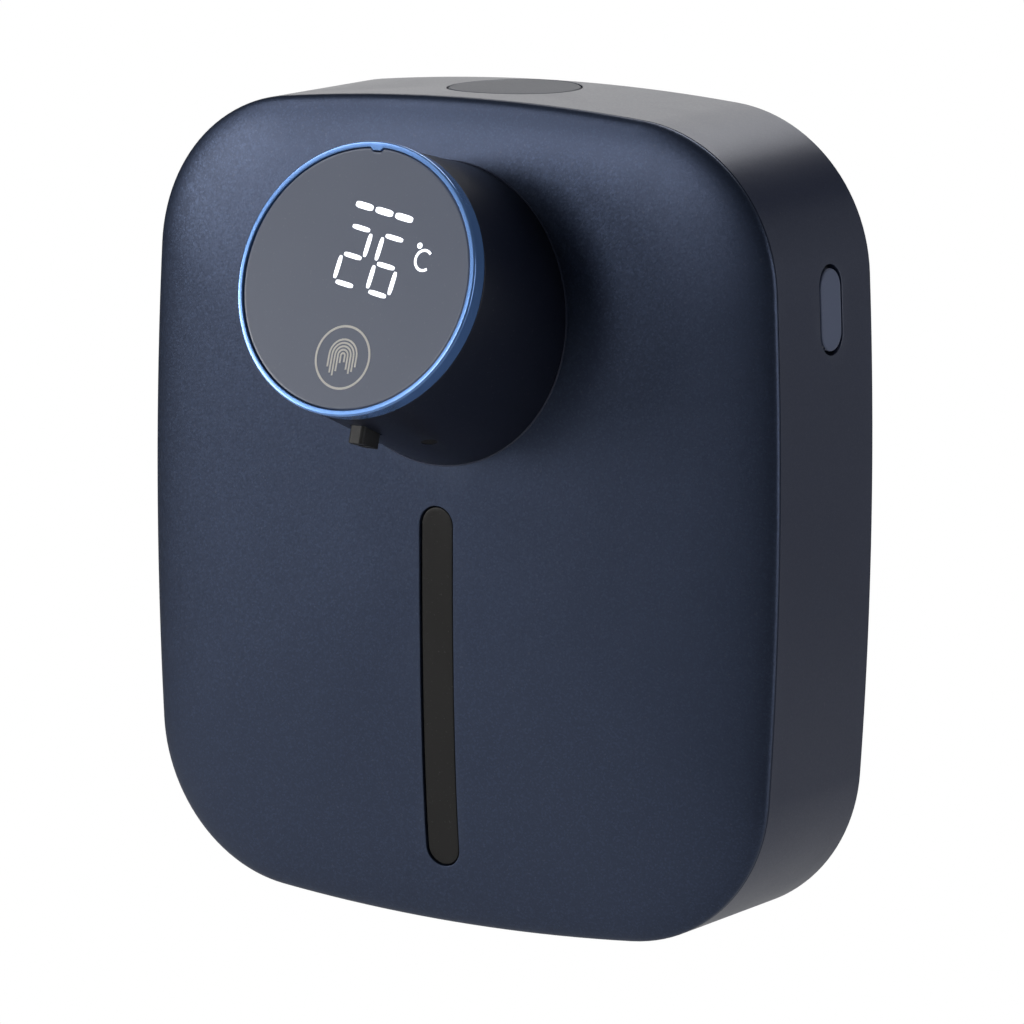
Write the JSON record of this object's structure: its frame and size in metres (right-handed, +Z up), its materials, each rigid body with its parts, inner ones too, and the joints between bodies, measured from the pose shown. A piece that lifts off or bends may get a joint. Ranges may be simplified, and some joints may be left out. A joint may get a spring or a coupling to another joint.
{
  "type": "wall mounted soap dispenser",
  "caption": "Battery powered touch-free wall soap dispenser with a tilted round display head, level window, top refill cap, side charging port and hook-on wall plate.",
  "frame": {"origin": "middle of the wall plate's back face, where it meets the wall, level with the middle of the body", "axes": "+X to the right seen from the front, +Y into the wall, +Z up; the head points along -Y and tilts up"},
  "size_m": [0.1172, 0.0657, 0.133],
  "materials": {
    "panel_paint": "fine metallic dark blue paint with a satin clear coat",
    "band_paint": "satin metallic blue-grey paint on moulded plastic",
    "dark_plastic": "fine matt moulded dark grey plastic",
    "clear_smoke": "smoked translucent plastic",
    "tank_plastic": "frosted translucent polypropylene",
    "barrel_gloss": "near black navy gloss paint",
    "blue_chrome": "blue tinted electroplate",
    "face_glass": "smoked grey display glass",
    "light_guide": "milky light guide, white display segments",
    "circuit": "green circuit board laminate",
    "black_plastic": "black moulded plastic",
    "silicone": "translucent silicone rubber",
    "cap_rubber": "blue-grey soft touch silicone",
    "steel": "bright zinc plated steel",
    "cell_wrap": "heat sealed aluminium laminate",
    "pump_plastic": "natural acetal",
    "foam_tape": "black acrylic foam tape",
    "foam": "soft closed cell foam"
  },
  "bodies": {
    "wall_bracket": {"wall_plate": "dark_plastic", "adhesive_pad": "foam_tape"},
    "fill_lid": {"fill_cap": "cap_rubber", "cap_seal": "silicone"},
    "charge_flap": {"usb_flap": "cap_rubber"},
    "pump_rotor": {"motor_shaft": "steel", "drive_gear": "pump_plastic"},
    "pump_idler": {"driven_gear": "pump_plastic"},
    "dispenser": {"housing_shell": "band_paint", "front_cover": "panel_paint", "rear_cover": "dark_plastic", "level_window": "clear_smoke", "window_gasket": "foam_tape", "reservoir": "tank_plastic", "tank_grommet": "silicone", "intake_hose": "silicone", "tank_pads": "foam", "flap_pin": "steel", "usb_socket": "steel", "charge_board": "circuit", "main_board": "circuit", "board_screws": "steel", "cell_pack": "cell_wrap", "cell_tray": "black_plastic", "pump_body": "pump_plastic", "pump_cover": "pump_plastic", "pump_screws": "steel", "pump_motor": "steel", "idler_axle": "steel", "bezel_ring": "blue_chrome", "display_glass": "face_glass", "display_module": "light_guide", "touch_film": "circuit", "display_board": "circuit", "head_barrel": "barrel_gloss", "sensor_lenses": "black_plastic", "sensor_board": "circuit", "nozzle": "black_plastic", "foam_mesh": "steel", "outlet_hose": "silicone", "head_screws": "steel", "case_screws": "steel"}
  },
  "joints": [
    {"name": "unit_lift", "type": "slide", "parent": "wall_bracket", "child": "dispenser", "axis": [0, 0, 1], "range_m": [0, 0.008]},
    {"name": "cap_lift", "type": "slide", "parent": "dispenser", "child": "fill_lid", "axis": [0, 0, 1], "range_m": [0, 0.012]},
    {"name": "flap_swing", "type": "hinge", "parent": "dispenser", "child": "charge_flap", "pos_m": [0.05705, -0.0138, 0.02985], "axis": [0, 1, 0], "range_deg": [0, 90]},
    {"name": "rotor_spin", "type": "hinge", "parent": "dispenser", "child": "pump_rotor", "pos_m": [0.026, -0.012, 0.038], "axis": [0, 1, 0], "continuous": true},
    {"name": "idler_spin", "type": "hinge", "parent": "dispenser", "child": "pump_idler", "pos_m": [0.018, -0.012, 0.038], "axis": [0, 1, 0], "continuous": true}
  ],
  "couplings": [
    {"joint": "idler_spin", "follows": "rotor_spin", "ratio": -1}
  ]
}
